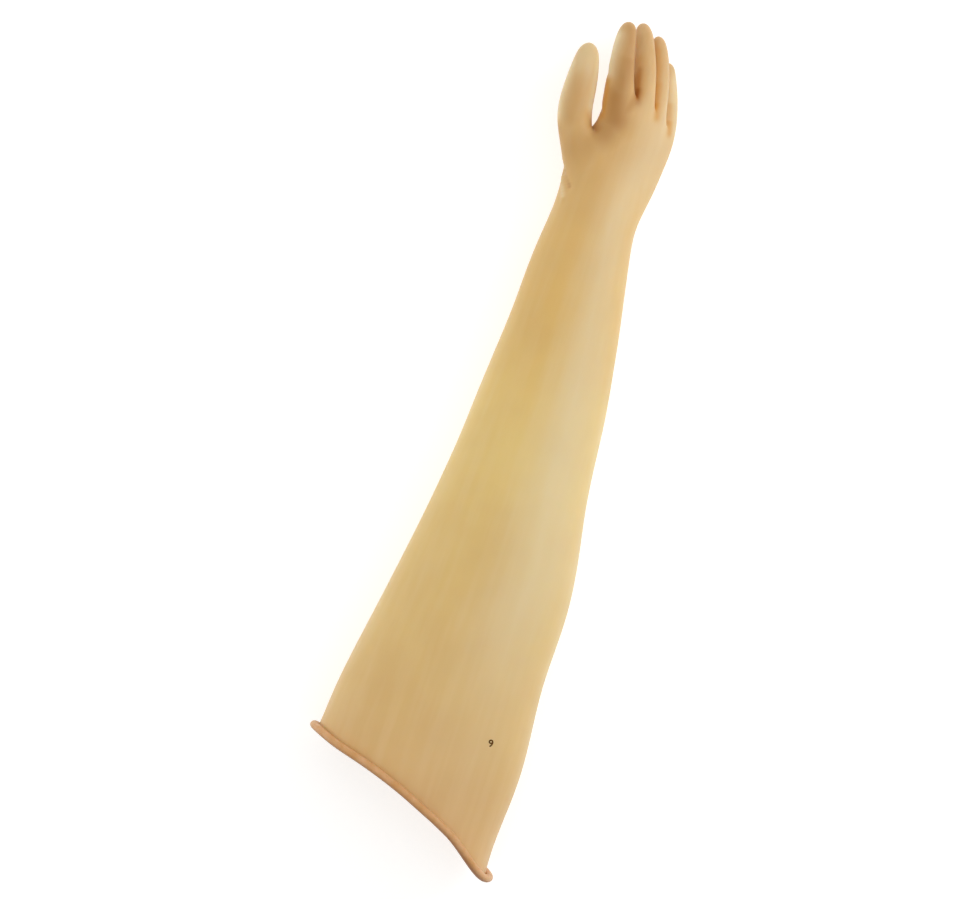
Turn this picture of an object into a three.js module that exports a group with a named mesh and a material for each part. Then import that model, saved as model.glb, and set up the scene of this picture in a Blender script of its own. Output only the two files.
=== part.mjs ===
// Shoulder-length rubber gauntlet glove for the right hand, lying on a flat surface with the back of
// the hand turned up. Millimetres, +Y towards the fingertips, +X towards the little-finger side, +Z up.
// It is a dipped hollow shell, open at a slanted cuff, with a rolled rim round the cuff's edge.
import * as THREE from 'three';

// Driving dimensions
const WALL = 1.3;
const RIM_DIAMETER = 8.4;
const RIM_GAP = 0.3;
const RIM_SIDES = 9;
const RUBBER = { color: 0xd8b27a, roughness: 0.5, metalness: 0 };
const RIM_RUBBER = { color: 0xc08a58, roughness: 0.5, metalness: 0 };

// A smoothed ring lies a little inside its corners, so each ring is drawn larger by these factors
const GROW_SIDES = 1.023;
const GROW_BACK = 1.011;
const GROW_FINGER = 1.095;

// Where a section's corners lie, in degrees: the thumb side is 180, the back of the hand 90, the
// little-finger side 0 and the palm -90
const BACK_ANGLES = [157, 138, 120, 105, 90, 75, 60, 42, 23];
const CORNERS = [180, ...BACK_ANGLES, 0, ...BACK_ANGLES.map((angle) => -angle).reverse()];
const COLUMNS = CORNERS.length;
const FINGER_ANGLES = [135, 90, 45, 0, -45, -90, -135, 180];
// Places of a finger section's thumb-side corners in that list
const BACK_LEFT = 0;
const PALM_LEFT = 6;
const LEFT = 7;

// How square a section is: 2 is an ellipse, and more is boxier
const TOP_POWER = 2.15;
const FLOOR_POWER = 2.6;
const HAND_POWER = 2.3;
const FLOOR_CUT = 0.8;
const WIDEST = 0.44;

// Sleeve, from the cuff to the forearm: thumb side x and y, little-finger side x and y, lowest and
// highest z, how far the section bows towards the hand between its two sides, and its share of the wave
const SLEEVE = [
  { xl: -102.5, yl: -575, xr: 98.4, yr: -662, low: 8.7, high: 107, bow: 8, wave: 1 },
  { xl: -101.0, yl: -558, xr: 97.2, yr: -644, low: 6.5, high: 107, bow: 7, wave: 0.8 },
  { xl: -98.5, yl: -522, xr: 98.0, yr: -608, low: 1.5, high: 106, bow: 5, wave: 0.3 },
  { xl: -90.0, yl: -468, xr: 103.0, yr: -548, low: 0, high: 103, bow: 3, wave: 0 },
  { xl: -79.0, yl: -404, xr: 90.4, yr: -470, low: 0, high: 99, bow: 1, wave: 0 },
  { xl: -69.5, yl: -336, xr: 98.2, yr: -384, low: 0, high: 95, bow: 0, wave: 0 },
  { xl: -61.8, yl: -266, xr: 78.4, yr: -300, low: 0, high: 89, bow: 0, wave: 0 },
  { xl: -58.0, yl: -195, xr: 70.4, yr: -207, low: 0, high: 82, bow: 0, wave: 0 },
  { xl: -51.2, yl: -128, xr: 58.6, yr: -132, low: 0, high: 76, bow: 0, wave: 0 },
];
// How far the cuff's edge waves towards the hand at each corner of its back, thumb side first
const CUFF_WAVE = [-0.6, -2.6, -0.2, 1.8, 3.5, 3.2, 4.8, -2.4, -6.3];

// Wrist and palm: centre, half-width, half-thickness, roll of the thumb side upwards in degrees, and
// how far the little-finger side lies nearer the wrist than the centre
const HAND = [
  { x: -0.9, y: -84, z: 36.5, wide: 50.6, thick: 35.5, roll: 0, slant: 0 },
  { x: -3.0, y: -48, z: 35.0, wide: 46.2, thick: 34.5, roll: 5, slant: 0 },
  { x: -4.2, y: -18, z: 34.0, wide: 41.8, thick: 33.0, roll: 12, slant: 0 },
  { x: -3.1, y: 4, z: 33.8, wide: 43.7, thick: 30.5, roll: 21, slant: 0 },
  { x: -2.5, y: 23, z: 34.5, wide: 48.8, thick: 27.5, roll: 30, slant: 0 },
  { x: -1.4, y: 41, z: 35.3, wide: 52.7, thick: 24.5, roll: 36, slant: 1 },
  { x: 3.2, y: 58, z: 36.2, wide: 51.2, thick: 21.5, roll: 40, slant: 3 },
  { x: 8.2, y: 74, z: 36.6, wide: 47.5, thick: 19.5, roll: 42, slant: 6 },
];
const THUMB_ROWS = [SLEEVE.length + 4, SLEEVE.length + 5, SLEEVE.length + 6];
// Web between the thumb and the palm, from its back to its palm side
const THUMB_WEB = [{ x: -28.5, y: 63.2, z: 73 }, { x: -33.5, y: 66.3, z: 62.5 }, { x: -37, y: 63.3, z: 52 }];

// Fingers, thumb side first. Each row is a section's centre, half-width and half-thickness, from the
// knuckle to the last joint's end; the tip closes the finger.
const FINGERS = [
  { roll: 34, rows: [
    { x: -19.0, y: 98, z: 58.0, wide: 13.8, thick: 14.6 },
    { x: -21.8, y: 116, z: 57.4, wide: 13.8, thick: 15.0 },
    { x: -25.8, y: 134, z: 57.2, wide: 12.1, thick: 12.6 },
    { x: -29.2, y: 151, z: 52.5, wide: 11.0, thick: 11.2 },
    { x: -31.0, y: 165.5, z: 47.0, wide: 9.6, thick: 9.8 },
    { x: -31.2, y: 176, z: 43.0, wide: 7.2, thick: 7.2 },
  ], tip: { x: -31.2, y: 182.5, z: 40.5 } },
  { roll: 38, rows: [
    { x: 5.3, y: 100.5, z: 47.0, wide: 12.0, thick: 12.8 },
    { x: 2.4, y: 118, z: 46.2, wide: 11.3, thick: 12.2 },
    { x: -2.4, y: 137, z: 44.0, wide: 11.2, thick: 12.0 },
    { x: -8.2, y: 154, z: 39.6, wide: 10.4, thick: 10.8 },
    { x: -13.0, y: 168.5, z: 35.5, wide: 9.4, thick: 9.6 },
    { x: -18.4, y: 179.4, z: 29.8, wide: 7.0, thick: 7.0 },
  ], tip: { x: -20.8, y: 186, z: 27.2 } },
  { roll: 48, rows: [
    { x: 21.4, y: 90, z: 32.3, wide: 10.4, thick: 11.2 },
    { x: 19.2, y: 110, z: 32.2, wide: 10.0, thick: 10.4 },
    { x: 15.0, y: 129, z: 31.0, wide: 10.2, thick: 10.4 },
    { x: 9.8, y: 147, z: 27.8, wide: 9.8, thick: 10.0 },
    { x: 4.8, y: 161, z: 25.0, wide: 8.8, thick: 8.8 },
    { x: 0.3, y: 172.4, z: 22.8, wide: 6.6, thick: 6.6 },
  ], tip: { x: -2.6, y: 179.8, z: 21.5 } },
  { roll: 62, rows: [
    { x: 34.2, y: 80, z: 14.0, wide: 11.4, thick: 12.8 },
    { x: 32.6, y: 97, z: 13.4, wide: 10.2, thick: 12.2 },
    { x: 28.7, y: 113, z: 12.4, wide: 10.0, thick: 11.4 },
    { x: 24.3, y: 128, z: 11.6, wide: 9.6, thick: 10.4 },
    { x: 20.2, y: 141, z: 10.0, wide: 8.6, thick: 8.8 },
    { x: 17.2, y: 152, z: 9.4, wide: 6.4, thick: 6.6 },
  ], tip: { x: 15.8, y: 158, z: 9.0 } },
];
const THUMB = { roll: 28, rows: [
  { x: -51.8, y: 64.5, z: 58.0, wide: 17.4, thick: 16.2 },
  { x: -56.6, y: 82, z: 57.0, wide: 17.2, thick: 15.4 },
  { x: -57.8, y: 97, z: 56.0, wide: 17.0, thick: 14.6 },
  { x: -58.8, y: 113, z: 55.0, wide: 15.5, thick: 13.6 },
  { x: -60.2, y: 128.6, z: 54.0, wide: 13.2, thick: 12.0 },
  { x: -61.8, y: 142.6, z: 53.0, wide: 9.6, thick: 9.0 },
], tip: { x: -63.7, y: 152.6, z: 52 } };

// How far the web between two fingers reaches past their knuckles, and its dip on the back
const WEB_REACH = 12;
const WEB_BACK = 6;

const radians = THREE.MathUtils.degToRad;
const vector = ({ x, y, z }) => new THREE.Vector3(x, y, z);

// A power of a sine or cosine that keeps its sign
function curved(value, power) {
  return Math.sign(value) * Math.abs(value) ** (2 / power);
}

// Directions across a rolled section: towards the little finger, and out of the back of the hand
function rolledAxes(roll, forward) {
  const across = new THREE.Vector3(Math.cos(radians(roll)), 0, -Math.sin(radians(roll)));
  across.addScaledVector(forward, -across.dot(forward)).normalize();
  return { across, back: new THREE.Vector3().crossVectors(across, forward).normalize() };
}

// Corners of a sleeve section, flat where it lies on the surface
function sleeveSection(row) {
  const centre = new THREE.Vector3((row.xl + row.xr) / 2, (row.yl + row.yr) / 2, 0);
  const half = new THREE.Vector3((row.xr - row.xl) / 2, (row.yr - row.yl) / 2, 0);
  const widest = row.low + WIDEST * (row.high - row.low);
  return CORNERS.map((angle, column) => {
    const along = Math.cos(radians(angle));
    const up = Math.sin(radians(angle));
    const power = up < 0 ? FLOOR_POWER : TOP_POWER;
    const rise = up < 0 ? (widest - row.low) / FLOOR_CUT : (row.high - widest) * GROW_BACK;
    const corner = centre.clone().addScaledVector(half, GROW_SIDES * curved(along, power));
    corner.y += row.bow * up * up + row.wave * (CUFF_WAVE[column - 1] ?? 0);
    corner.z = Math.max(row.low, widest + rise * curved(up, power));
    return corner;
  });
}

// Corners of a wrist or palm section
function handSection(row) {
  const { across, back } = rolledAxes(row.roll, new THREE.Vector3(0, 1, 0));
  return CORNERS.map((angle) => {
    const corner = vector(row);
    corner.addScaledVector(across, GROW_SIDES * row.wide * curved(Math.cos(radians(angle)), HAND_POWER));
    corner.addScaledVector(back, GROW_BACK * row.thick * curved(Math.sin(radians(angle)), HAND_POWER));
    corner.y -= row.slant * Math.cos(radians(angle));
    corner.z = Math.max(0, corner.z);
    return corner;
  });
}

// Corners of a finger section, square to the finger's own line
function fingerSection(row, forward, roll) {
  const { across, back } = rolledAxes(roll, forward);
  return FINGER_ANGLES.map((angle) => vector(row)
    .addScaledVector(across, GROW_FINGER * row.wide * Math.cos(radians(angle)))
    .addScaledVector(back, GROW_FINGER * row.thick * Math.sin(radians(angle))));
}

function fingerSections({ roll, rows, tip }) {
  return rows.map((row, i) => {
    const before = vector(rows[Math.max(0, i - 1)]);
    const after = vector(rows[i + 1] ?? tip);
    return fingerSection(row, after.sub(before).normalize(), roll);
  });
}

// A coarse net of four-sided faces that the glove's skin is smoothed from
class Net {
  corners = [];
  faces = [];

  add(corner) {
    this.corners.push(corner);
    return this.corners.length - 1;
  }

  addRing(ring) {
    return ring.map((corner) => this.add(corner));
  }

  // Joins two rings of the same length
  band(first, second, skipped = []) {
    first.forEach((corner, i) => {
      const next = (i + 1) % first.length;
      if (!skipped.includes(i)) this.faces.push([corner, first[next], second[next], second[i]]);
    });
  }

  // Closes a ring over a middle corner
  close(ring, middle) {
    for (let i = 0; i < ring.length; i += 2) {
      this.faces.push([ring[i], ring[i + 1], ring[(i + 2) % ring.length], middle]);
    }
  }

  // Carries a ring along a finger and closes its tip
  finger(base, sections, tip) {
    let last = base;
    for (const section of sections) {
      const ring = this.addRing(section);
      this.band(last, ring);
      last = ring;
    }
    this.close(last, this.add(vector(tip)));
  }
}

// The knuckle row: one ring of corners round the hand, and a web corner between each two fingers
function addKnuckles(net) {
  const bases = FINGERS.map((finger) => fingerSections(finger)[0]);
  const back = [];
  const webs = [];
  const palm = [];
  bases.forEach((base, i) => {
    const [backLeft, backMiddle, backRight, right, palmRight, palmMiddle, palmLeft, left] = base;
    if (i === 0) {
      back.push(backLeft);
      webs.push(left);
      palm.push(palmLeft);
    }
    back.push(backMiddle);
    palm.push(palmMiddle);
    const next = bases[i + 1];
    if (next) {
      back.push(backRight.clone().lerp(next[BACK_LEFT], 0.5).add(new THREE.Vector3(0, WEB_BACK, 0)));
      webs.push(right.clone().lerp(next[LEFT], 0.5).add(new THREE.Vector3(0, WEB_REACH, 0)));
      palm.push(palmRight.clone().lerp(next[PALM_LEFT], 0.5).add(new THREE.Vector3(0, WEB_REACH, 0)));
    } else {
      back.push(backRight);
      webs.push(right);
      palm.push(palmRight);
    }
  });
  const backIds = net.addRing(back);
  const webIds = net.addRing(webs);
  const palmIds = net.addRing(palm);
  const ring = [webIds[0], ...backIds, webIds.at(-1), ...palmIds.slice().reverse()];
  const fingerRings = FINGERS.map((finger, i) => [
    backIds[2 * i], backIds[2 * i + 1], backIds[2 * i + 2], webIds[i + 1],
    palmIds[2 * i + 2], palmIds[2 * i + 1], palmIds[2 * i], webIds[i],
  ]);
  return { ring, fingerRings };
}

function gloveNet() {
  const net = new Net();
  const sections = [...SLEEVE.map(sleeveSection), ...HAND.map(handSection)];
  const [low, middle, high] = THUMB_ROWS;
  [1, 0, COLUMNS - 1].forEach((column, i) => {
    sections[high][column] = vector(THUMB_WEB[i]);
  });
  const rings = sections.map((section, row) => section.map((corner, column) => {
    const underThumb = row === middle && column === 0;
    return underThumb ? null : net.add(corner);
  }));
  const { ring: knuckles, fingerRings } = addKnuckles(net);
  const thumbFaces = [0, COLUMNS - 1];
  [...rings, knuckles].slice(1).forEach((ring, i) => {
    net.band(rings[i], ring, i === low || i === middle ? thumbFaces : []);
  });
  FINGERS.forEach((finger, i) => net.finger(fingerRings[i], fingerSections(finger).slice(1), finger.tip));
  const thumbBase = [
    rings[low][1], rings[middle][1], rings[high][1], rings[high][0],
    rings[high][COLUMNS - 1], rings[middle][COLUMNS - 1], rings[low][COLUMNS - 1], rings[low][0],
  ];
  net.finger(thumbBase, fingerSections(THUMB), THUMB.tip);
  return { corners: net.corners, faces: net.faces, edge: rings[0] };
}

// One round of Catmull-Clark smoothing. The open edge at the cuff smooths along itself.
function smooth({ corners, faces, edge }) {
  const facePoints = faces.map((face) => mean(face.map((id) => corners[id])));
  const edges = new Map();
  faces.forEach((face, faceId) => face.forEach((a, i) => {
    const b = face[(i + 1) % face.length];
    const key = a < b ? `${a} ${b}` : `${b} ${a}`;
    if (!edges.has(key)) edges.set(key, { ends: [a, b], faces: [], middle: mean([corners[a], corners[b]]) });
    edges.get(key).faces.push(faceId);
  }));
  const around = corners.map(() => ({ facePoints: [], middles: [], rims: [] }));
  for (const { ends, faces: sides, middle } of edges.values()) {
    for (const end of ends) {
      around[end].middles.push(middle);
      if (sides.length === 1) around[end].rims.push(middle);
    }
  }
  faces.forEach((face, faceId) => face.forEach((id) => around[id].facePoints.push(facePoints[faceId])));
  const moved = corners.map((corner, id) => {
    const { facePoints: points, middles, rims } = around[id];
    if (rims.length > 0) return corner.clone().multiplyScalar(2).add(rims[0]).add(rims[1]).divideScalar(4);
    const count = points.length;
    return mean(points).addScaledVector(mean(middles), 2).addScaledVector(corner, count - 3)
      .divideScalar(count);
  });
  const result = [...moved, ...facePoints];
  const edgeIds = new Map();
  for (const [key, { faces: sides, middle }] of edges) {
    edgeIds.set(key, result.length);
    const point = sides.length === 1 ? middle : mean(sides.map((id) => facePoints[id])).lerp(middle, 0.5);
    result.push(point);
  }
  const edgeId = (a, b) => edgeIds.get(a < b ? `${a} ${b}` : `${b} ${a}`);
  const quads = faces.flatMap((face, faceId) => face.map((id, i) => {
    const next = face[(i + 1) % face.length];
    const last = face[(i + face.length - 1) % face.length];
    return [id, edgeId(id, next), corners.length + faceId, edgeId(last, id)];
  }));
  const newEdge = edge.flatMap((id, i) => [id, edgeId(id, edge[(i + 1) % edge.length])]);
  return { corners: result, faces: quads, edge: newEdge };
}

function mean(points) {
  const total = new THREE.Vector3();
  for (const point of points) total.add(point);
  return total.divideScalar(points.length);
}

// Outward direction at each corner of a skin
function normals({ corners, faces }) {
  const result = corners.map(() => new THREE.Vector3());
  for (const face of faces) {
    const [a, b, c, d] = face.map((id) => corners[id]);
    const normal = c.clone().sub(a).cross(d.clone().sub(b));
    for (const id of face) result[id].add(normal);
  }
  return result.map((normal) => normal.normalize());
}

function meshOf(name, corners, faces, finish) {
  const geometry = new THREE.BufferGeometry();
  geometry.setAttribute('position', new THREE.Float32BufferAttribute(corners.flatMap((p) => p.toArray()), 3));
  geometry.setIndex(faces.flatMap(([a, b, c, d]) => [a, b, c, a, c, d]));
  geometry.computeVertexNormals();
  const mesh = new THREE.Mesh(geometry, new THREE.MeshStandardMaterial(finish));
  mesh.name = name;
  return mesh;
}

// The skin and the same skin one wall further in, joined round the cuff's edge
function shellMesh(skin, outward) {
  const count = skin.corners.length;
  const inner = skin.corners.map((corner, id) => corner.clone().addScaledVector(outward[id], -WALL));
  const innerFaces = skin.faces.map((face) => face.map((id) => id + count).reverse());
  const edgeFaces = skin.edge.map((id, i) => {
    const next = skin.edge[(i + 1) % skin.edge.length];
    return [id, id + count, next + count, next];
  });
  const corners = [...skin.corners, ...inner];
  return meshOf('glove_shell', corners, [...skin.faces, ...innerFaces, ...edgeFaces], RUBBER);
}

// The rolled rim: a round cord that lies against the outside of the cuff all the way round
function rimMesh(skin, outward) {
  const radius = RIM_DIAMETER / 2;
  const count = skin.edge.length;
  const point = (i) => skin.corners[skin.edge[(i + count) % count]];
  const corners = [];
  const faces = [];
  for (let i = 0; i < count; i += 1) {
    const along = point(i + 1).clone().sub(point(i - 1)).normalize();
    const normal = outward[skin.edge[i]].clone();
    const out = normal.addScaledVector(along, -normal.dot(along)).normalize();
    const side = new THREE.Vector3().crossVectors(along, out);
    const centre = point(i).clone().addScaledVector(out, radius + RIM_GAP);
    for (let j = 0; j < RIM_SIDES; j += 1) {
      const turn = (2 * Math.PI * j) / RIM_SIDES;
      const corner = centre.clone().addScaledVector(out, radius * Math.cos(turn));
      corners.push(corner.addScaledVector(side, radius * Math.sin(turn)));
      const next = ((i + 1) % count) * RIM_SIDES;
      const turned = (j + 1) % RIM_SIDES;
      faces.push([i * RIM_SIDES + j, i * RIM_SIDES + turned, next + turned, next + j]);
    }
  }
  return meshOf('rolled_rim', corners, faces, RIM_RUBBER);
}

const skin = smooth(gloveNet());
const outward = normals(skin);
const glove = new THREE.Group();
glove.add(shellMesh(skin, outward), rimMesh(skin, outward));

// The origin is under the middle of the whole glove, on the surface that it lies on
const box = new THREE.Box3().setFromObject(glove);
const middle = box.getCenter(new THREE.Vector3());
glove.position.set(-middle.x, -middle.y, -box.min.z);

export default glove;
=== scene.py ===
import math
from collections import namedtuple

import bpy
import numpy as np
from mathutils import Matrix, Vector, noise


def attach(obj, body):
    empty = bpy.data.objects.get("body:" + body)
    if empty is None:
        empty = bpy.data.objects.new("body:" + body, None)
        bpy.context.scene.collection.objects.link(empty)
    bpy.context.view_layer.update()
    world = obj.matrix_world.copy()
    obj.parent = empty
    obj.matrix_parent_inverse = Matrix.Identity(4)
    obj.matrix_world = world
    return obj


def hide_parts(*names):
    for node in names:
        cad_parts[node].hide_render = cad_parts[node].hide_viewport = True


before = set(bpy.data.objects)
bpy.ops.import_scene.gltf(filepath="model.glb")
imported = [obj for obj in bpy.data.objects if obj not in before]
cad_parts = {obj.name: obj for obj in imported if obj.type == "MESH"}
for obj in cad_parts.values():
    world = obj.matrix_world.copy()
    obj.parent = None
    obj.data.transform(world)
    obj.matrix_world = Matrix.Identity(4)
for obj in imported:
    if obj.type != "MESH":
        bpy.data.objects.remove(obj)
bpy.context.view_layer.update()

# Shoulder-length natural-rubber gauntlet glove for the right hand, lying with the back of its hand up.
# The tables are in millimetres round the wrist: +Y towards the fingertips, +X towards the little
# finger, +Z up. They are the ones that the part's solids are made from.

MM = 0.001

# Where the wrist lies in the frame, how thick the rubber is, and how thick the rolled rim
WRIST = Vector((2.043, 242.028, 0.0))
WALL = 1.3
RIM_DIAMETER = 8.4

# The camera looks straight down on a place that is given round the wrist. The picture's upright is turned
# from the glove's length as in the photo. The camera's height and reach, the height of the glove's outline
# and the picture's width there are in metres.
TURN = math.radians(18.5)
VIEW_CENTRE = Vector((-28.9, -263.6, 0.0))
CAMERA_HEIGHT = 8.0
CAMERA_REACH = 50.0
OUTLINE_HEIGHT = 0.045
VIEW_WIDTH = 0.9634
SENSOR = 36.0

# Shape tables

# Sections of the sleeve from the cuff on: both ends of each, the heights of its floor and its top, how far
# its middle bows towards the hand, and its share of the cuff's wave
SleeveRow = namedtuple("SleeveRow", "left_x left_y right_x right_y low high bow wave")
SLEEVE = [SleeveRow(*row) for row in (
    (-102.5, -575, 98.4, -662, 8.7, 107, 8, 1),
    (-101.0, -558, 97.2, -644, 6.5, 107, 7, 0.8),
    (-98.5, -522, 98.0, -608, 1.5, 106, 5, 0.3),
    (-90.0, -468, 103.0, -548, 0, 103, 3, 0),
    (-79.0, -404, 90.4, -470, 0, 99, 1, 0),
    (-69.5, -336, 98.2, -384, 0, 95, 0, 0),
    (-61.8, -266, 78.4, -300, 0, 89, 0, 0),
    (-58.0, -195, 70.4, -207, 0, 82, 0, 0),
    (-51.2, -128, 58.6, -132, 0, 76, 0, 0),
)]

# How far the cuff's edge waves towards the hand at each corner of its back, thumb side first
CUFF_WAVE = [-0.6, -2.6, -0.2, 1.8, 3.5, 3.2, 4.8, -2.4, -6.3]

# Sections of the wrist and the palm: the middle of each, half its width, half its thickness, its roll in
# degrees, and how far its thumb side lies ahead
HandRow = namedtuple("HandRow", "x y z wide thick roll slant")
HAND = [HandRow(*row) for row in (
    (-0.9, -84, 36.5, 50.6, 35.5, 0, 0),
    (-3.0, -48, 35.0, 46.2, 34.5, 5, 0),
    (-4.2, -18, 34.0, 41.8, 33.0, 12, 0),
    (-3.1, 4, 33.8, 43.7, 30.5, 21, 0),
    (-2.5, 23, 34.5, 48.8, 27.5, 30, 0),
    (-1.4, 41, 35.3, 52.7, 24.5, 36, 1),
    (3.2, 58, 36.2, 51.2, 21.5, 40, 3),
    (8.2, 74, 36.6, 47.5, 19.5, 42, 6),
)]

# Web between the thumb and the palm, from its back to its palm side
THUMB_WEB = [Vector((-28.5, 63.2, 73)), Vector((-33.5, 66.3, 62.5)), Vector((-37, 63.3, 52))]

# Each finger: its roll, its sections from the knuckle to the last joint, and its tip
FingerRow = namedtuple("FingerRow", "x y z wide thick")
Finger = namedtuple("Finger", "roll rows tip")


def finger(roll, rows, tip):
    return Finger(roll, [FingerRow(*row) for row in rows], Vector(tip))


INDEX = finger(34, (
    (-19.0, 98, 58.0, 13.8, 14.6),
    (-21.8, 116, 57.4, 13.8, 15.0),
    (-25.8, 134, 57.2, 12.1, 12.6),
    (-29.2, 151, 52.5, 11.0, 11.2),
    (-31.0, 165.5, 47.0, 9.6, 9.8),
    (-31.2, 176, 43.0, 7.2, 7.2),
), (-31.2, 182.5, 40.5))
MIDDLE = finger(38, (
    (5.3, 100.5, 47.0, 12.0, 12.8),
    (2.4, 118, 46.2, 11.3, 12.2),
    (-2.4, 137, 44.0, 11.2, 12.0),
    (-8.2, 154, 39.6, 10.4, 10.8),
    (-13.0, 168.5, 35.5, 9.4, 9.6),
    (-18.4, 179.4, 29.8, 7.0, 7.0),
), (-20.8, 186, 27.2))
RING = finger(48, (
    (21.4, 90, 32.3, 10.4, 11.2),
    (19.2, 110, 32.2, 10.0, 10.4),
    (15.0, 129, 31.0, 10.2, 10.4),
    (9.8, 147, 27.8, 9.8, 10.0),
    (4.8, 161, 25.0, 8.8, 8.8),
    (0.3, 172.4, 22.8, 6.6, 6.6),
), (-2.6, 179.8, 21.5))
LITTLE = finger(62, (
    (34.2, 80, 14.0, 11.4, 12.8),
    (32.6, 97, 13.4, 10.2, 12.2),
    (28.7, 113, 12.4, 10.0, 11.4),
    (24.3, 128, 11.6, 9.6, 10.4),
    (20.2, 141, 10.0, 8.6, 8.8),
    (17.2, 152, 9.4, 6.4, 6.6),
), (15.8, 158, 9.0))
THUMB = finger(28, (
    (-51.8, 64.5, 58.0, 17.4, 16.2),
    (-56.6, 82, 57.0, 17.2, 15.4),
    (-57.8, 97, 56.0, 17.0, 14.6),
    (-58.8, 113, 55.0, 15.5, 13.6),
    (-60.2, 128.6, 54.0, 13.2, 12.0),
    (-61.8, 142.6, 53.0, 9.6, 9.0),
), (-63.7, 152.6, 52))
FINGERS = [INDEX, MIDDLE, RING, LITTLE]

# Where a section's corners lie, in degrees: thumb side 180, back 90, little-finger side 0, palm -90
BACK_ANGLES = [157, 138, 120, 105, 90, 75, 60, 42, 23]
CORNERS = [180, *BACK_ANGLES, 0, *(-angle for angle in reversed(BACK_ANGLES))]

# The same for a finger's eight corners, and their names
FINGER_ANGLES = [135, 90, 45, 0, -45, -90, -135, 180]
BACK_LEFT, BACK_MIDDLE, BACK_RIGHT, RIGHT, PALM_RIGHT, PALM_MIDDLE, PALM_LEFT, LEFT = range(8)

# The three sections of the palm that the thumb grows out of
THUMB_ROWS = [len(SLEEVE) + row for row in (4, 5, 6)]

# A smoothed ring lies a little inside its corners, so each ring is drawn larger by these factors
GROW_SIDES = 1.028
GROW_BACK = 1.016
GROW_FINGER = 1.12

# How square a section is: 2 is an ellipse, and more is boxier
TOP_POWER = 2.15
FLOOR_POWER = 2.6
HAND_POWER = 2.3

# A sleeve section is widest at this share of its height. Below that it keeps the second share of its
# curve, and the rest is cut off flat where it lies on the ground.
WIDEST = 0.44
FLOOR_CUT = 0.8

# How far the webs lie beyond the roots of the fingers beside them, inside and on the back
WEB_REACH = 12
WEB_BACK = 6

# Rounds of smoothing that turn the coarse net into the skin
SMOOTHING = 3


# The glove's coarse net

def curved(value, power):
    """A cosine or sine bent so that the section it draws is more or less square."""
    return math.copysign(abs(value) ** (2 / power), value)


def rolled_axes(roll, forward):
    """Directions across a rolled section: towards the little finger, and out of the back."""
    angle = math.radians(roll)
    across = Vector((math.cos(angle), 0, -math.sin(angle)))
    across -= forward * across.dot(forward)
    across.normalize()
    return across, across.cross(forward).normalized()


def sleeve_section(row):
    """Corners of a sleeve section, flat where it lies on the ground."""
    left = Vector((row.left_x, row.left_y, 0))
    right = Vector((row.right_x, row.right_y, 0))
    widest = row.low + WIDEST * (row.high - row.low)
    waves = [0, *CUFF_WAVE] + [0] * (len(BACK_ANGLES) + 1)
    corners = []
    for degrees, wave in zip(CORNERS, waves):
        along = math.cos(math.radians(degrees))
        up = math.sin(math.radians(degrees))
        power = FLOOR_POWER if up < 0 else TOP_POWER
        rise = (widest - row.low) / FLOOR_CUT if up < 0 else (row.high - widest) * GROW_BACK
        corner = (left + right) / 2 + (right - left) / 2 * GROW_SIDES * curved(along, power)
        corner.y += row.bow * up * up + row.wave * wave
        corner.z = max(row.low, widest + rise * curved(up, power))
        corners.append(corner)
    return corners


def hand_section(row):
    """Corners of a wrist or palm section."""
    across, back = rolled_axes(row.roll, Vector((0, 1, 0)))
    corners = []
    for degrees in CORNERS:
        along = math.cos(math.radians(degrees))
        up = math.sin(math.radians(degrees))
        corner = Vector((row.x, row.y - row.slant * along, row.z))
        corner += across * GROW_SIDES * row.wide * curved(along, HAND_POWER)
        corner += back * GROW_BACK * row.thick * curved(up, HAND_POWER)
        corner.z = max(0, corner.z)
        corners.append(corner)
    return corners


def finger_sections(shape):
    """Rings of corners along a finger, each square to the finger's own line."""
    centres = [Vector(row[:3]) for row in shape.rows] + [shape.tip]
    rings = []
    for i, row in enumerate(shape.rows):
        forward = (centres[i + 1] - centres[max(0, i - 1)]).normalized()
        across, back = rolled_axes(shape.roll, forward)
        rings.append([
            centres[i]
            + across * GROW_FINGER * row.wide * math.cos(math.radians(degrees))
            + back * GROW_FINGER * row.thick * math.sin(math.radians(degrees))
            for degrees in FINGER_ANGLES
        ])
    return rings


class Net:
    """A coarse net of four-sided faces that the glove's skin is smoothed from."""

    def __init__(self):
        self.corners = []
        self.faces = []

    def add(self, corner):
        self.corners.append(corner)
        return len(self.corners) - 1

    def add_ring(self, ring):
        return [self.add(corner) for corner in ring]

    def band(self, first, second, skipped=()):
        """Joins two rings with faces, apart from the skipped ones."""
        for i in range(len(first)):
            after = (i + 1) % len(first)
            if i not in skipped:
                self.faces.append((first[i], first[after], second[after], second[i]))

    def close(self, ring, middle):
        """Closes a ring of eight corners with four faces round a middle corner."""
        for i in range(0, len(ring), 2):
            self.faces.append((ring[i], ring[i + 1], ring[(i + 2) % len(ring)], middle))

    def finger(self, base, sections, tip):
        last = base
        for section in sections:
            ring = self.add_ring(section)
            self.band(last, ring)
            last = ring
        self.close(last, self.add(tip))


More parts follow.
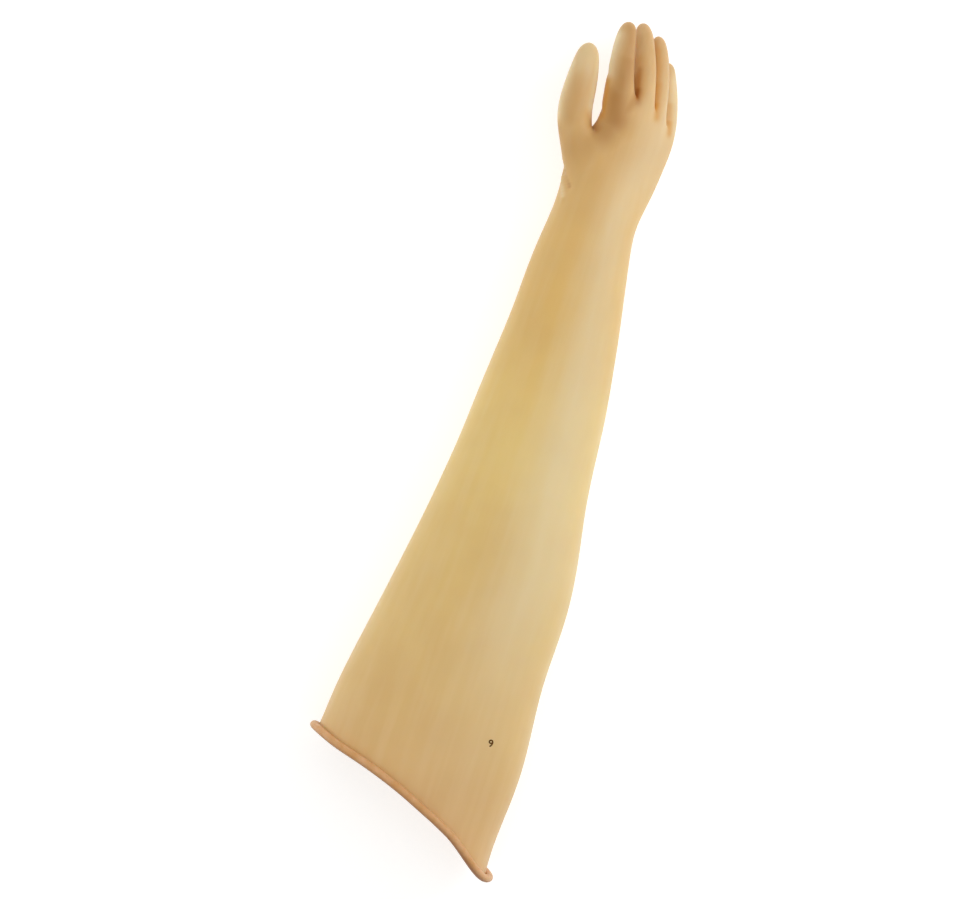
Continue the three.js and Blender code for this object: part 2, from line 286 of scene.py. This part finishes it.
def add_knuckles(net):
    """One ring of corners round the knuckles, and a web corner between each two fingers."""
    bases = [finger_sections(shape)[0] for shape in FINGERS]
    first, last = bases[0], bases[-1]
    back, webs, palm = [first[BACK_LEFT]], [first[LEFT]], [first[PALM_LEFT]]
    for base, following in zip(bases, bases[1:] + [None]):
        back.append(base[BACK_MIDDLE])
        palm.append(base[PALM_MIDDLE])
        if following:
            web = Vector((0, WEB_REACH, 0))
            back.append((base[BACK_RIGHT] + following[BACK_LEFT]) / 2 + Vector((0, WEB_BACK, 0)))
            webs.append((base[RIGHT] + following[LEFT]) / 2 + web)
            palm.append((base[PALM_RIGHT] + following[PALM_LEFT]) / 2 + web)
    back_ids = net.add_ring(back + [last[BACK_RIGHT]])
    web_ids = net.add_ring(webs + [last[RIGHT]])
    palm_ids = net.add_ring(palm + [last[PALM_RIGHT]])
    ring = [web_ids[0], *back_ids, web_ids[-1], *reversed(palm_ids)]
    finger_rings = [
        back_ids[2 * i:2 * i + 3] + [web_ids[i + 1]] + palm_ids[2 * i:2 * i + 3][::-1] + [web_ids[i]]
        for i in range(len(FINGERS))
    ]
    return ring, finger_rings


def glove_net():
    """The whole coarse net: sleeve, wrist, palm with a hole for the thumb, fingers and thumb."""
    net = Net()
    sections = [sleeve_section(row) for row in SLEEVE] + [hand_section(row) for row in HAND]
    low, middle, high = THUMB_ROWS
    for column, corner in zip((1, 0, -1), THUMB_WEB):
        sections[high][column] = corner
    rings = [
        [None if (row, column) == (middle, 0) else net.add(corner) for column, corner in enumerate(section)]
        for row, section in enumerate(sections)
    ]
    knuckles, finger_rings = add_knuckles(net)
    under_thumb = (0, len(CORNERS) - 1)
    for i, (ring, following) in enumerate(zip(rings, rings[1:] + [knuckles])):
        net.band(ring, following, under_thumb if i in (low, middle) else ())
    for shape, ring in zip(FINGERS, finger_rings):
        net.finger(ring, finger_sections(shape)[1:], shape.tip)
    thumb_base = [
        rings[low][1], rings[middle][1], rings[high][1], rings[high][0],
        rings[high][-1], rings[middle][-1], rings[low][-1], rings[low][0],
    ]
    net.finger(thumb_base, finger_sections(THUMB), THUMB.tip)
    return net


# Making and finishing meshes

def show(name, mesh):
    """A new object with this mesh, in the scene."""
    piece = bpy.data.objects.new(name, mesh)
    bpy.context.scene.collection.objects.link(piece)
    return piece


def bake(piece):
    """Turns a piece with modifiers into a plain mesh."""
    evaluated = piece.evaluated_get(bpy.context.evaluated_depsgraph_get())
    mesh = bpy.data.meshes.new_from_object(evaluated)
    piece.modifiers.clear()
    piece.data = mesh
    mesh.name = piece.name


def read_points(mesh):
    """Places and outward directions of a mesh's points, in millimetres round the wrist."""
    places = np.empty(len(mesh.vertices) * 3)
    mesh.vertices.foreach_get("co", places)
    outward = np.empty(len(mesh.vertices) * 3)
    mesh.vertices.foreach_get("normal", outward)
    return places.reshape(-1, 3) / MM - np.array(WRIST), outward.reshape(-1, 3)


def write_points(mesh, places):
    """Moves a mesh's points to places in millimetres round the wrist."""
    mesh.vertices.foreach_set("co", ((places + np.array(WRIST)) * MM).ravel())
    mesh.update()


def to_segment(places, start, end):
    """How far each place is from a straight line between two points."""
    start, end = np.array(start, float), np.array(end, float)
    along = end - start
    share = np.clip((places - start) @ along / (along @ along), 0, 1)
    return np.linalg.norm(places - start - share[:, None] * along, axis=1)


def paint(mesh, name, values):
    """Stores a value at each point, for a material to read."""
    layer = mesh.attributes.new(name, "FLOAT", "POINT")
    layer.data.foreach_set("value", np.asarray(values, dtype=np.float32))


# How sharply the skin bends in, in 1/mm, where it starts to turn amber and where it is as amber as it
# gets, how much that is, and how often the bend is averaged with the neighbours'. The amber in these
# hollows is rubber that pools there, with painted shade in the hollow.
HOLLOW_START = 0.012
HOLLOW_FULL = 0.072
HOLLOW_AMBER = 0.7
HOLLOW_ROUNDS = 3


def hollowness(mesh, places, outward):
    """How sharply the skin bends in at each point, from how far its neighbours stand above it."""
    pairs = np.empty(len(mesh.edges) * 2, dtype=np.int64)
    mesh.edges.foreach_get("vertices", pairs)
    first, second = pairs.reshape(-1, 2).T
    count = np.bincount(pairs, minlength=len(places))
    step = places[second] - places[first]
    length = np.linalg.norm(step, axis=1)
    rise = np.bincount(first, (step * outward[first]).sum(1) / length ** 2, len(places))
    rise += np.bincount(second, -(step * outward[second]).sum(1) / length ** 2, len(places))
    bend = rise / count
    for _ in range(HOLLOW_ROUNDS):
        total = np.bincount(first, bend[second], len(places))
        total += np.bincount(second, bend[first], len(places))
        bend = (bend + total / count) / 2
    return bend


# Folds and grooves pressed into the skin, in millimetres: a line, half-width and depth.
# A negative depth raises a ridge.
Fold = namedtuple("Fold", "start end width depth")
FOLDS = [
    Fold((-48, 25, 49), (-47, 19, 51), 4.0, 2.2),
    Fold((-46, 20, 53), (-35, 5, 61), 2.2, 2.0),
    Fold((-49, 13, 48), (-40, -6, 58), 3.0, -1.5),
    Fold((-37, 98, 44), (-31, 84, 66), 3.0, 1.0),
    Fold((-41, 126, 50), (-24, 122, 70), 4.0, 0.8),
]

# The dipped skin's slow unevenness: how high and how long its waves are, where it begins and over how
# far towards the cuff it grows to its full height, and how far above the ground it does so
UNEVEN_HEIGHT = 0.7
UNEVEN_LENGTH = 70.0
UNEVEN_START = 20.0
UNEVEN_FADE = 150.0
UNEVEN_RISE = 20.0

# Where the rubber is thicker and browner, or amber, with painted shade; thin and pale, with painted
# highlights; or pooled, with painted shade: a line, how far round it the shade reaches, and how much of it
# there is
Spot = namedtuple("Spot", "start end reach amount")
SPOTS_OF_TINT_AND_LIGHT = {
    # Thicker, browner rubber and painted shade: the index knuckle, the thumb and the back of the hand
    "brown_and_shade": [
        Spot((-23, 103, 74), (-15, 83, 72), 17, 1.0),
        Spot((-15, 83, 72), (-21, 67, 73), 16, 0.75),
        Spot((-21, 67, 73), (-36, 50, 66), 13, 0.35),
        Spot((-36, 50, 66), (-50, 40, 60), 18, 0.45),
        Spot((-50, 40, 60), (-46, 22, 52), 14, 0.3),
        Spot((-20, 112, 72), (-22, 140, 66), 11, 0.85),
        Spot((-22, 140, 66), (-27, 172, 54), 9, 0.65),
        Spot((-10, 92, 68), (-5, 106, 62), 8, 0.8),
        Spot((-58, 72, 72), (-60, 108, 68), 12, 0.35),
        Spot((-66, 56, 60), (-56, 28, 54), 10, 0.55),
        Spot((-6, 50, 66), (-10, 30, 68), 24, 0.15),
    ],
    # Amber rubber and painted shade: the index's palm side and the middle finger's flank
    "amber_and_shade": [
        Spot((-33, 114, 63), (-30, 84, 66), 6.5, 0.85),
        Spot((0, 116, 55), (-9, 146, 48), 5.5, 0.45),
    ],
    # Painted highlights on edges left in shade and on the wrist's ridge, and thin rubber at the thumb tip
    "thin_and_highlight": [
        Spot((-63, 150, 55), (-61, 130, 62), 22, 0.5),
        Spot((-48, 138, 58), (-41, 88, 62), 7, 1.0),
        Spot((-73, 122, 60), (-72, 72, 62), 9, 0.7),
        Spot((-37, 124, 62), (-40, 160, 54), 8, 1.0),
        Spot((-36, 126, 60), (-31, 114, 64), 4, 0.5),
        Spot((-11, 136, 52), (-22, 170, 42), 4.5, 0.45),
        Spot((40, 92, 20), (26, 138, 18), 9, 0.65),
        Spot((-50, 13, 48), (-41, -4, 58), 2.6, 0.9),
    ],
    # Rubber pooled in the wrist crease and the thumb's crotch, with painted shade there
    "pooled_and_shade": [
        Spot((-47, 24, 51), (-37, 7, 61), 1.9, 0.6),
        Spot((-37, 72, 62), (-30, 68, 70), 4, 0.4),
    ],
}

# The groove beside each finger but the index, painted darker as shade on the flank that faces away from the
# light: its shade, how far up on the finger's back it lies, how far it reaches, and how much of it there is
# near the web and farther out. It starts behind the web, by this share of its first stretch.
Groove = namedtuple("Groove", "shade height reach near far")
GROOVES = [
    Groove("pooled_and_shade", 0.45, 3.4, 0.85, 0.05),
    Groove("amber_and_shade", 0.8, 4.6, 0.9, 0.4),
    Groove("amber_and_shade", 0.9, 4.6, 0.75, 0.2),
]
GROOVE_START = 0.6

# Painted highlight from the side light and sheen: how pale the band on the little-finger side is at shares
# of the width from the thumb side, and how much of it there is at places along the glove
SIDE_HIGHLIGHT_ACROSS = [(0.38, 0.0), (0.55, 0.24), (0.72, 0.58), (0.85, 0.45), (1.0, 0.1)]
SIDE_HIGHLIGHT_ALONG = [(-600, 0.1), (-520, 0.25), (-400, 0.8), (-200, 0.9), (-60, 0.75), (90, 0.6), (130, 0.35)]


def groove_spots(shade):
    """Spots of painted shade along the grooves with this shade, from the web outwards on the flank of the
    finger beyond.
    """
    for shape, groove in zip(FINGERS[1:], GROOVES):
        if groove.shade != shade:
            continue
        rings = finger_sections(shape)[1:5]
        root, first, _, last = [ring[LEFT].lerp(ring[BACK_LEFT], groove.height) for ring in rings]
        behind = root + (root - first) * GROOVE_START
        yield Spot(behind, root, groove.reach, groove.near)
        yield Spot(root, first, groove.reach, (groove.near + groove.far) / 2)
        yield Spot(first, last, groove.reach, groove.far)


def side_highlight(places):
    """How far each place is in the painted highlight, a paler band that runs down the glove's little-finger
    side.
    """
    rows = [(row.left_x, row.right_x, (row.left_y + row.right_y) / 2) for row in SLEEVE]
    rows += [(row.x - row.wide, row.x + row.wide, row.y) for row in HAND]
    left, right, along = np.array(rows).T
    sides = [np.interp(places[:, 1], along, side) for side in (left, right)]
    across = (places[:, 0] - sides[0]) / (sides[1] - sides[0])
    return np.interp(across, *zip(*SIDE_HIGHLIGHT_ACROSS)) * np.interp(places[:, 1], *zip(*SIDE_HIGHLIGHT_ALONG))


def press_folds(places, outward):
    """Presses the folds in, and makes the dipped skin a little uneven."""
    shift = np.zeros(len(places))
    for fold in FOLDS:
        shift -= fold.depth * np.exp(-(to_segment(places, fold.start, fold.end) / fold.width) ** 2)
    uneven = np.array([noise.noise(Vector(place)) for place in places / UNEVEN_LENGTH])
    sleeve = np.clip((UNEVEN_START - places[:, 1]) / UNEVEN_FADE, 0, 1)
    raised = np.clip(places[:, 2] / UNEVEN_RISE, 0, 1)
    return places + outward * (shift + UNEVEN_HEIGHT * uneven * sleeve * raised)[:, None]


# Colours and nodes

def linear(hex_colour):
    """The linear colour, with alpha, of an sRGB hex value."""
    parts = [int(hex_colour[i:i + 2], 16) / 255 for i in (1, 3, 5)]
    return [part / 12.92 if part <= 0.04045 else ((part + 0.055) / 1.055) ** 2.4 for part in parts] + [1]


def cells(size):
    """The texture scale at which a pattern's patches are this many millimetres across."""
    return 1 / (size * MM)


def add(tree, kind, inputs=None, stops=(), **settings):
    """Adds a node. Its inputs are values or other nodes' outputs, and a ramp's stops have hex colours."""
    node = tree.nodes.new(kind)
    for key, value in settings.items():
        setattr(node, key, value)
    for key, value in (inputs or {}).items():
        if isinstance(value, bpy.types.NodeSocket):
            tree.links.new(value, node.inputs[key])
        else:
            node.inputs[key].default_value = value
    if stops:
        elements = node.color_ramp.elements
        for element, (place, colour) in zip((elements[0], elements[-1]), (stops[0], stops[-1])):
            element.position = place
            element.color = linear(colour)
        for place, colour in stops[1:-1]:
            elements.new(place).color = linear(colour)
    return node


def new_material(name, surface):
    """A material with a Principled shader whose whole-surface values are set on its own sockets."""
    material = bpy.data.materials.new(name)
    material.use_nodes = True
    tree = material.node_tree
    shader = tree.nodes["Principled BSDF"]
    for key, value in surface.items():
        shader.inputs[key].default_value = value
    return material, tree, shader


# Base colour along the glove, from near the cuff's edge to the middle fingertip: where in the frame these
# two ends are, in metres, and the colours at shares of the way between them
LENGTH_ENDS = (-0.42, 0.425)
LENGTH_TINTS = [
    (0.0, "#D8B47C"),
    (0.20, "#E2BF7D"),
    (0.48, "#F0CD82"),
    (0.66, "#EBC073"),
    (0.78, "#E7BC77"),
    (0.86, "#E2B777"),
    (1.0, "#DBB078"),
]

# Shades painted on the shell, one over the other: the band on the little-finger side, a painted highlight
# from the side light and sheen; browner rubber with painted shade; painted highlights with thin rubber; amber
# rubber with painted shade; and the rubber that pooled in crotches and folds, with painted shade there
SHADES = {
    "band": "#F5E0BC",
    "brown_and_shade": "#B98647",
    "thin_and_highlight": "#F4DCB0",
    "amber_and_shade": "#DA9A40",
    "pooled_and_shade": "#AA5F0A",
}


def dipped_natural_latex():
    """Unpigmented natural rubber, dipped in layers on a former and cured: honey-coloured, satin and a little
    see-through, with slow colour changes where the dip ran, and darker where it gathered in a crotch. Painted
    shade darkens its crotches, grooves and hollows further, and painted highlights lighten some edges and its
    little-finger side."""
    material, tree, shader = new_material("dipped natural latex, satin", {
        "IOR": 1.52,
        "Specular IOR Level": 0.32,
        "Subsurface Weight": 0.45,
        "Subsurface Scale": 0.003,
        "Subsurface Radius": (1.0, 0.7, 0.35),
        "Sheen Weight": 0.15,
        "Sheen Roughness": 0.45,
    })
    place = add(tree, "ShaderNodeTexCoord").outputs["Object"]
    split = add(tree, "ShaderNodeSeparateXYZ", {"Vector": place})
    inputs = {"Value": split.outputs["Y"], "From Min": LENGTH_ENDS[0], "From Max": LENGTH_ENDS[1]}
    along = add(tree, "ShaderNodeMapRange", inputs)
    tint = add(tree, "ShaderNodeValToRGB", {"Fac": along.outputs["Result"]}, stops=LENGTH_TINTS)
    tint = tint.outputs["Color"]

    # Patches about 60 mm across where the layers are thicker or thinner, and streaks about 9 mm wide and
    # 200 mm long from the dip draining off the former
    patches = add(tree, "ShaderNodeTexNoise", {"Vector": place, "Scale": cells(62.5), "Detail": 2.0})
    inputs = {"Vector": place, "Scale": (cells(9.1), cells(200), cells(9.1))}
    drawn = add(tree, "ShaderNodeMapping", inputs)
    inputs = {"Vector": drawn.outputs["Vector"], "Scale": 1.0, "Detail": 3.0}
    streaks = add(tree, "ShaderNodeTexNoise", inputs)
    for value, low, high, most, colour in (
        (patches.outputs["Fac"], 0.35, 0.7, 0.2, "#C9A068"),
        (streaks.outputs["Fac"], 0.4, 0.75, 0.12, "#F4DDB4"),
    ):
        inputs = {"Value": value, "From Min": low, "From Max": high, "To Max": most}
        share = add(tree, "ShaderNodeMapRange", inputs)
        inputs = {0: share.outputs["Result"], 6: tint, 7: linear(colour)}
        tint = add(tree, "ShaderNodeMix", inputs, data_type="RGBA").outputs[2]

    # The shades painted on the skin, painted shade and painted highlights among them
    for name, colour in SHADES.items():
        amount = add(tree, "ShaderNodeAttribute", attribute_name=name).outputs["Fac"]
        inputs = {0: amount, 6: tint, 7: linear(colour)}
        tint = add(tree, "ShaderNodeMix", inputs, data_type="RGBA").outputs[2]
    tree.links.new(tint, shader.inputs["Base Color"])

    # Slight orange peel, about 1.5 mm across and 0.4 mm deep at full strength
    peel = add(tree, "ShaderNodeTexNoise", {"Vector": place, "Scale": cells(1.54), "Detail": 2.0})
    inputs = {"Height": peel.outputs["Fac"], "Strength": 0.12, "Distance": 0.4 * MM}
    bump = add(tree, "ShaderNodeBump", inputs)
    tree.links.new(bump.outputs["Normal"], shader.inputs["Normal"])

    # Satin, and a little duller where the layers are thicker
    inputs = {
        "Value": patches.outputs["Fac"], "From Min": 0.3, "From Max": 0.7, "To Min": 0.42, "To Max": 0.56,
    }
    dullness = add(tree, "ShaderNodeMapRange", inputs)
    tree.links.new(dullness.outputs["Result"], shader.inputs["Roughness"])
    return material


def rolled_latex():
    """The same rubber rolled up on itself into a cord: many layers, so darker and pinker, and solid."""
    material, tree, shader = new_material("rolled natural latex, satin", {
        "Roughness": 0.5,
        "IOR": 1.52,
        "Specular IOR Level": 0.35,
        "Subsurface Weight": 0.2,
        "Subsurface Scale": 0.0018,
        "Subsurface Radius": (1.0, 0.5, 0.3),
        "Sheen Weight": 0.1,
    })
    place = add(tree, "ShaderNodeTexCoord").outputs["Object"]

    # Patches about 12 mm long where the roll is tighter
    patches = add(tree, "ShaderNodeTexNoise", {"Vector": place, "Scale": cells(12.5), "Detail": 3.0})
    stops = [(0.3, "#D0995A"), (0.7, "#DEAD7C")]
    tint = add(tree, "ShaderNodeValToRGB", {"Fac": patches.outputs["Fac"]}, stops=stops)

    # Painted shade: browner on the roll's outer, lower side, which faces away from the light
    outer = add(tree, "ShaderNodeAttribute", attribute_name="outer_side_shade").outputs["Fac"]
    inputs = {0: outer, 6: tint.outputs["Color"], 7: linear("#945E2A")}
    tint = add(tree, "ShaderNodeMix", inputs, data_type="RGBA")
    tree.links.new(tint.outputs[2], shader.inputs["Base Color"])

    # Fine wrinkles, about 1 mm apart
    wrinkles = add(tree, "ShaderNodeTexNoise", {"Vector": place, "Scale": cells(1.11), "Detail": 2.0})
    inputs = {"Height": wrinkles.outputs["Fac"], "Strength": 0.2, "Distance": 0.4 * MM}
    bump = add(tree, "ShaderNodeBump", inputs)
    tree.links.new(bump.outputs["Normal"], shader.inputs["Normal"])
    return material


def light_table():
    """A matt white opal sheet, lit from below, under the glove."""
    material, tree, shader = new_material("matt white light table", {
        "Roughness": 0.95,
        "Specular IOR Level": 0.1,
        "Emission Color": linear("#FFFFFF"),
        "Emission Strength": 0.62,
    })
    place = add(tree, "ShaderNodeTexCoord").outputs["Object"]

    # Faint grain, about 3 mm across
    grain = add(tree, "ShaderNodeTexNoise", {"Vector": place, "Scale": cells(3.33), "Detail": 2.0})
    stops = [(0.3, "#CBCBCA"), (0.7, "#CFCFCE")]
    tint = add(tree, "ShaderNodeValToRGB", {"Fac": grain.outputs["Fac"]}, stops=stops)
    tree.links.new(tint.outputs["Color"], shader.inputs["Base Color"])
    return material


# The shell

def glove_shell(material):
    """The dipped shell: the smoothed skin with its folds and shades, and a wall inside it."""
    net = glove_net()
    mesh = bpy.data.meshes.new("latex_shell")
    mesh.from_pydata([(corner + WRIST) * MM for corner in net.corners], [], net.faces)
    mesh.materials.append(material)
    piece = show("latex_shell", mesh)
    subdivision = piece.modifiers.new("Smooth", "SUBSURF")
    subdivision.levels = SMOOTHING
    subdivision.render_levels = SMOOTHING
    bake(piece)
    skin = piece.data
    places, outward = read_points(skin)
    hollow = hollowness(skin, places, outward)
    write_points(skin, press_folds(places, outward))
    # The painted highlight down the little-finger side
    paint(skin, "band", side_highlight(places))
    # Painted shade, painted highlights and thicker, thinner or pooled rubber, spot by spot
    for name, spots in SPOTS_OF_TINT_AND_LIGHT.items():
        amount = np.zeros(len(places))
        # Amber where the skin bends in: rubber that pools there, and painted shade in the hollow
        if name == "amber_and_shade":
            amount = np.interp(hollow, (HOLLOW_START, HOLLOW_FULL), (0, HOLLOW_AMBER))
        for spot in [*spots, *groove_spots(name)]:
            here = spot.amount * np.exp(-(to_segment(places, spot.start, spot.end) / spot.reach) ** 2)
            amount = np.maximum(amount, here)
        paint(skin, name, amount)
    edge = cuff_edge(skin)
    wall = piece.modifiers.new("Wall", "SOLIDIFY")
    wall.thickness = WALL * MM
    wall.offset = -1
    bake(piece)
    piece.data.shade_smooth()
    return piece, edge


def cuff_edge(skin):
    """The points and outward directions round the open cuff, in order."""
    uses = {}
    for polygon in skin.polygons:
        for key in polygon.edge_keys:
            uses[key] = uses.get(key, 0) + 1
    following = {}
    for (a, b), count in uses.items():
        if count == 1:
            following.setdefault(a, []).append(b)
            following.setdefault(b, []).append(a)
    start = min(following)
    order = [start, following[start][0]]
    while order[-1] != start:
        step = [other for other in following[order[-1]] if other != order[-2]]
        order.append(step[0])
    return [(skin.vertices[i].co.copy(), skin.vertices[i].normal.copy()) for i in order[:-1]]


# The rolled rim, which Geometry Nodes sweep along the cuff's edge

# How much its outer side is flattened, as a share of its radius, and how many points it has along the
# cuff and round the roll
ROLL_FLATTENING = 0.1
ROLL_POINTS = 360
ROLL_SIDES = 28

# The middle of its outer side and how far that side reaches, as shares of the way round from the top.
# That side is flattened, and painted darker as shade.
OUTER_MIDDLE = 0.22
OUTER_REACH = 0.24


def rim_tree():
    """Moves the cuff's edge out by half the roll's diameter and sweeps a flattened circle along it."""
    tree = bpy.data.node_groups.new("rolled rim along the cuff", "GeometryNodeTree")
    tree.is_modifier = True
    tree.interface.new_socket("Geometry", in_out="OUTPUT", socket_type="NodeSocketGeometry")
    for name, kind in (
        ("Geometry", "NodeSocketGeometry"),
        ("Roll Diameter", "NodeSocketFloat"),
        ("Flattening", "NodeSocketFloat"),
        ("Rubber", "NodeSocketMaterial"),
    ):
        tree.interface.new_socket(name, in_out="INPUT", socket_type=kind)
    given = add(tree, "NodeGroupInput").outputs
    half = add(tree, "ShaderNodeMath", {0: given["Roll Diameter"], 1: 0.5}, operation="MULTIPLY").outputs[0]
    outward = add(
        tree, "GeometryNodeInputNamedAttribute", {"Name": "outward"}, data_type="FLOAT_VECTOR"
    ).outputs[0]
    offset = add(tree, "ShaderNodeVectorMath", {0: outward, "Scale": half}, operation="SCALE").outputs[0]
    moved = add(tree, "GeometryNodeSetPosition", {"Geometry": given["Geometry"], "Offset": offset})
    curve = add(tree, "GeometryNodeMeshToCurve", {"Mesh": moved.outputs[0]})
    evened = add(tree, "GeometryNodeResampleCurve", {"Curve": curve.outputs[0], "Count": ROLL_POINTS})
    inputs = {"Curve": evened.outputs[0], "Normal": outward}
    turned = add(tree, "GeometryNodeSetCurveNormal", inputs, mode="FREE")

    # The roll's section, with its outer side marked for the painted shade and pressed in
    circle = add(tree, "GeometryNodeCurvePrimitiveCircle", {"Resolution": ROLL_SIDES, "Radius": half})
    share = add(tree, "GeometryNodeSplineParameter").outputs["Factor"]
    away = add(tree, "ShaderNodeMath", {0: share, 1: OUTER_MIDDLE}, operation="SUBTRACT").outputs[0]
    away = add(tree, "ShaderNodeMath", {0: away}, operation="ABSOLUTE").outputs[0]
    inputs = {"Value": away, "From Min": 0.0, "From Max": OUTER_REACH, "To Min": 1.0, "To Max": 0.0}
    outer = add(tree, "ShaderNodeMapRange", inputs, interpolation_type="SMOOTHSTEP").outputs[0]
    inputs = {"Geometry": circle.outputs["Curve"], "Name": "outer_side_shade", "Value": outer}
    marked = add(tree, "GeometryNodeStoreNamedAttribute", inputs, domain="POINT")
    depth = add(tree, "ShaderNodeMath", {0: outer, 1: given["Flattening"]}, operation="MULTIPLY")
    kept = add(tree, "ShaderNodeMath", {0: 1.0, 1: depth.outputs[0]}, operation="SUBTRACT")
    here = add(tree, "GeometryNodeInputPosition").outputs[0]
    pressed = add(tree, "ShaderNodeVectorMath", {0: here, "Scale": kept.outputs[0]}, operation="SCALE")
    inputs = {"Geometry": marked.outputs[0], "Position": pressed.outputs[0]}
    profile = add(tree, "GeometryNodeSetPosition", inputs)

    inputs = {"Curve": turned.outputs[0], "Profile Curve": profile.outputs[0]}
    swept = add(tree, "GeometryNodeCurveToMesh", inputs)
    plain = add(tree, "GeometryNodeRealizeInstances", {"Geometry": swept.outputs[0]})
    coated = add(tree, "GeometryNodeSetMaterial", {"Geometry": plain.outputs[0], "Material": given["Rubber"]})
    add(tree, "NodeGroupOutput", {"Geometry": coated.outputs[0]})
    return tree


def rolled_rim(edge, material):
    """The roll round the cuff, swept along the skin's own edge."""
    path = bpy.data.meshes.new("rolled_cuff_rim")
    count = len(edge)
    path.from_pydata([place for place, _ in edge], [(i, (i + 1) % count) for i in range(count)], [])
    layer = path.attributes.new("outward", "FLOAT_VECTOR", "POINT")
    layer.data.foreach_set("vector", np.array([normal for _, normal in edge], dtype=np.float32).ravel())
    piece = show("rolled_cuff_rim", path)
    sweep = piece.modifiers.new("Roll", "NODES")
    sweep.node_group = rim_tree()
    given = {"Roll Diameter": RIM_DIAMETER * MM, "Flattening": ROLL_FLATTENING, "Rubber": material}
    for item in sweep.node_group.interface.items_tree:
        if item.name in given:
            sweep[item.identifier] = given[item.name]
    bake(piece)
    piece.data.shade_smooth()
    return piece


# The size number

# It is stamped near the cuff: where, how high it is and how it is turned, how much its strokes are widened
# on each side, and how thick the ink is
NUMBER = "9"
NUMBER_PLACE = Vector((63.0, -535.5, 0.0))
NUMBER_HEIGHT = 7.0
NUMBER_TURN = math.radians(13)
STROKE_GROWTH = 0.2
INK = 0.12

# A digit's height as a share of its text size, and the height in metres that its outline is dropped from
DIGIT_SHARE = 0.7
DROP_HEIGHT = 1.0


def stamped_ink():
    """Brown stamping ink that has sunk a little into the rubber, patchy where the stamp sat unevenly."""
    material, tree, shader = new_material("stamped brown ink", {"Roughness": 0.8, "Specular IOR Level": 0.1})
    place = add(tree, "ShaderNodeTexCoord").outputs["Object"]

    # Patches about 1 mm across, drawn coarser than the real ink's grain so that they show
    patches = add(tree, "ShaderNodeTexNoise", {"Vector": place, "Scale": cells(1.11), "Detail": 2.0})
    stops = [(0.35, "#4A2A0A"), (0.65, "#6E4719")]
    tint = add(tree, "ShaderNodeValToRGB", {"Fac": patches.outputs["Fac"]}, stops=stops)
    tree.links.new(tint.outputs["Color"], shader.inputs["Base Color"])
    return material


def size_number(shell, material):
    """The number's outline, laid on the sleeve along straight lines from above."""
    text = bpy.data.curves.new("size_number", "FONT")
    text.body = NUMBER
    text.size = NUMBER_HEIGHT / DIGIT_SHARE * MM
    text.align_x = "CENTER"
    text.align_y = "CENTER"
    text.offset = STROKE_GROWTH * MM
    source = bpy.data.objects.new("size_number_outline", text)
    mesh = bpy.data.meshes.new_from_object(source)
    bpy.data.objects.remove(source)
    mesh.transform(Matrix.Translation((NUMBER_PLACE + WRIST) * MM) @ Matrix.Rotation(NUMBER_TURN, 4, "Z"))
    for vertex in mesh.vertices:
        above = Vector((vertex.co.x, vertex.co.y, DROP_HEIGHT))
        _, place, outward, _ = shell.ray_cast(above, Vector((0, 0, -1)))
        vertex.co = place + outward * (INK * MM)
    mesh.materials.append(material)
    piece = show("size_number", mesh)
    layer = piece.modifiers.new("Ink", "SOLIDIFY")
    layer.thickness = INK * MM
    layer.offset = -1
    bake(piece)
    return piece


# The studio

# How far the floor reaches each way in metres, and how bright the white surroundings are
FLOOR_REACH = 8.0
SURROUNDINGS = 0.56

# Each soft box's place in metres, turned with the picture, and its width and power in watts. All of them
# face the frame's origin.
SoftBox = namedtuple("SoftBox", "name place width watts")
SOFT_BOXES = [
    SoftBox("soft box, right", (2.0, 0.8, 1.4), 1.4, 18),
    SoftBox("soft box, left", (-2.3, 0.3, 0.8), 1.4, 10),
    SoftBox("soft box, overhead", (0.3, 0.0, 3.0), 2.4, 10),
]


def studio():
    """The camera, the white floor that is lit from below too, and the soft light."""
    scene = bpy.context.scene
    scene.view_settings.view_transform = "Standard"
    camera_data = bpy.data.cameras.new("camera")
    camera_data.sensor_width = SENSOR
    camera_data.lens = SENSOR * (CAMERA_HEIGHT - OUTLINE_HEIGHT) / VIEW_WIDTH
    camera_data.clip_end = CAMERA_REACH
    camera = bpy.data.objects.new("camera", camera_data)
    camera.location = (VIEW_CENTRE + WRIST) * MM + Vector((0, 0, CAMERA_HEIGHT))
    camera.rotation_euler = (0, 0, TURN)
    scene.collection.objects.link(camera)
    scene.camera = camera

    ground = bpy.data.meshes.new("white_floor")
    corners = [(FLOOR_REACH * x, FLOOR_REACH * y, 0) for x, y in ((-1, -1), (1, -1), (1, 1), (-1, 1))]
    ground.from_pydata(corners, [], [(0, 1, 2, 3)])
    ground.materials.append(light_table())
    floor = show("white_floor", ground)

    world = bpy.data.worlds.new("studio")
    scene.world = world
    world.use_nodes = True
    background = world.node_tree.nodes["Background"]
    background.inputs["Color"].default_value = linear("#FFFFFF")
    background.inputs["Strength"].default_value = SURROUNDINGS

    turn = Matrix.Rotation(TURN, 3, "Z")
    for box in SOFT_BOXES:
        light_data = bpy.data.lights.new(box.name, "AREA")
        light_data.size = box.width
        light_data.energy = box.watts
        light = bpy.data.objects.new(box.name, light_data)
        light.location = turn @ Vector(box.place)
        light.rotation_euler = (-light.location).to_track_quat("-Z", "Y").to_euler()
        light.visible_camera = False
        scene.collection.objects.link(light)


studio()
shell, edge = glove_shell(dipped_natural_latex())
rim = rolled_rim(edge, rolled_latex())
number = size_number(shell, stamped_ink())

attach(number, "root")
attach(shell, "root")
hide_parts("glove_shell")
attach(rim, "root")
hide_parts("rolled_rim")
